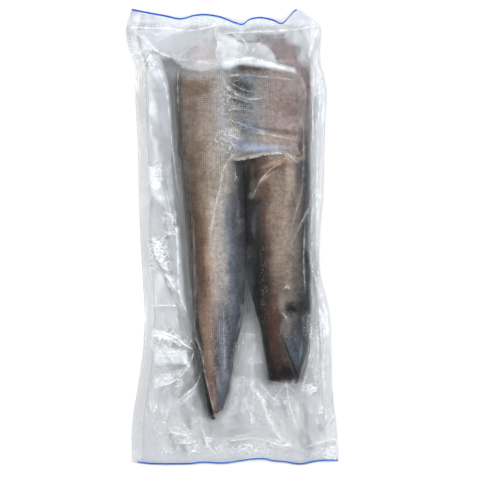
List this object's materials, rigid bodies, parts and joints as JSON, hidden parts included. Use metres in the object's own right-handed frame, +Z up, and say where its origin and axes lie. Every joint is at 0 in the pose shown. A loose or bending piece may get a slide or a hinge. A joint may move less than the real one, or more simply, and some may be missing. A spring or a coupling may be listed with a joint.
{
  "type": "frozen catfish in a vacuum pouch",
  "caption": "Clear vacuum pouch, sealed all round, lying flat with dressed headless catfish frozen side by side in it, tails towards one end.",
  "frame": {"origin": "centre of the pouch's outline on the table it lies on", "axes": "+Y along the pouch towards the cut head ends, +X across the pouch, +Z up from the table"},
  "size_m": [0.2018, 0.435, 0.0461],
  "materials": {
    "film": "clear vacuum film embossed with a fine square grid, glossy, wrinkled",
    "fish_skin": "smooth wet skin, grey-brown flanks and near-black back",
    "fish_flesh": "cut flesh, frosted pink with a red-brown rim",
    "fish_fin": "black fin stubs, satin",
    "blue_line": "thin blue line along each end of the film"
  },
  "bodies": {
    "root": {"sealed_pouch": "film"}
  },
  "joints": []
}
